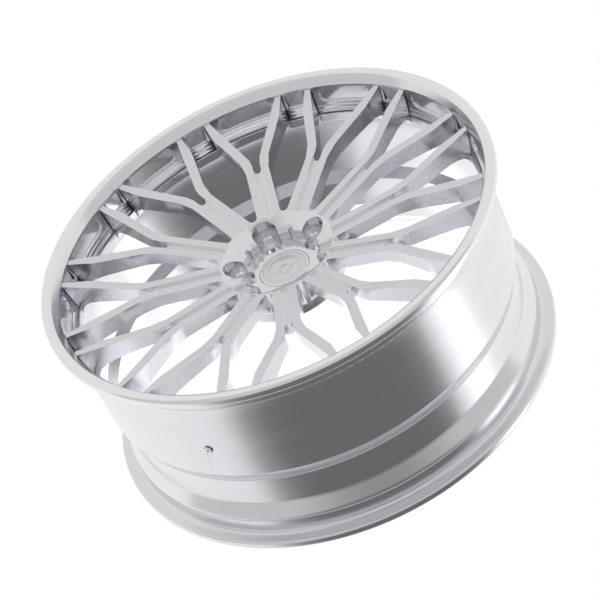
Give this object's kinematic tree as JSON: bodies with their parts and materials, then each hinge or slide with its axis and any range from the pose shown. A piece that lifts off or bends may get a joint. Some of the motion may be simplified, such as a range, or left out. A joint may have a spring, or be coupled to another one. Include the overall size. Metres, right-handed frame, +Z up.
{
  "type": "car wheel rim",
  "caption": "Deep-dish forged car wheel rim with Y-shaped spokes, a machined centre joined to a wide barrel, a flush centre cap and a clamp-in tyre valve.",
  "frame": {"origin": "centre of the wheel: on its axis, midway between the front and rear flange faces", "axes": "+Y along the wheel's axis, from the spoke face to the mounting face and the vehicle; the face looks along -Y; +Z up, with a spoke's centre line on it"},
  "size_m": [0.5981, 0.2666, 0.5982],
  "materials": {
    "barrel": "satin polished",
    "machined": "fine brushed, clear coated",
    "weld": "rippled weld",
    "emblem": "brushed",
    "steel": "bright",
    "plated": "nickel plated",
    "brass": "turned",
    "gasket": "matt",
    "rubber": "matt"
  },
  "bodies": {
    "rim": {"barrel": "barrel", "wheel_centre": "machined", "rim_weld": "weld", "valve_stem": "plated", "valve_seal": "rubber", "valve_washer": "steel", "valve_nut": "plated", "core_plug": "brass", "core_barrel": "brass", "core_gasket": "gasket", "core_spring": "steel"},
    "centre_cap": {"centre_cap": "machined", "cap_emblem": "emblem", "cap_spring_ring": "steel", "cap_seal": "rubber"},
    "valve_pin": {"core_pin": "steel", "core_cup_seal": "rubber"},
    "cap_carrier": {"valve_cap_gasket": "rubber"},
    "valve_cap": {"valve_cap": "plated"}
  },
  "joints": [
    {"name": "centre_cap_pull", "type": "slide", "parent": "rim", "child": "centre_cap", "axis": [0, -1, 0], "range_m": [0, 0.03]},
    {"name": "valve_pin_press", "type": "slide", "parent": "rim", "child": "valve_pin", "axis": [0.5, 0, 0.866], "range_m": [0, 0.0012], "stiffness_N_per_m": 300, "springref_m": -0.002, "deforming": ["core_spring"]},
    {"name": "valve_cap_lift", "type": "slide", "parent": "rim", "child": "cap_carrier", "axis": [-0.5, 0, -0.866], "range_m": [0, 0.00551]},
    {"name": "valve_cap_turn", "type": "hinge", "parent": "cap_carrier", "child": "valve_cap", "pos_m": [0.1243, -0.0287, 0.21529], "axis": [-0.5, 0, -0.866], "range_deg": [0, 2493]}
  ],
  "couplings": [
    {"joint": "valve_cap_lift", "follows": "valve_cap_turn", "m_per_rad": 0.00012637}
  ]
}
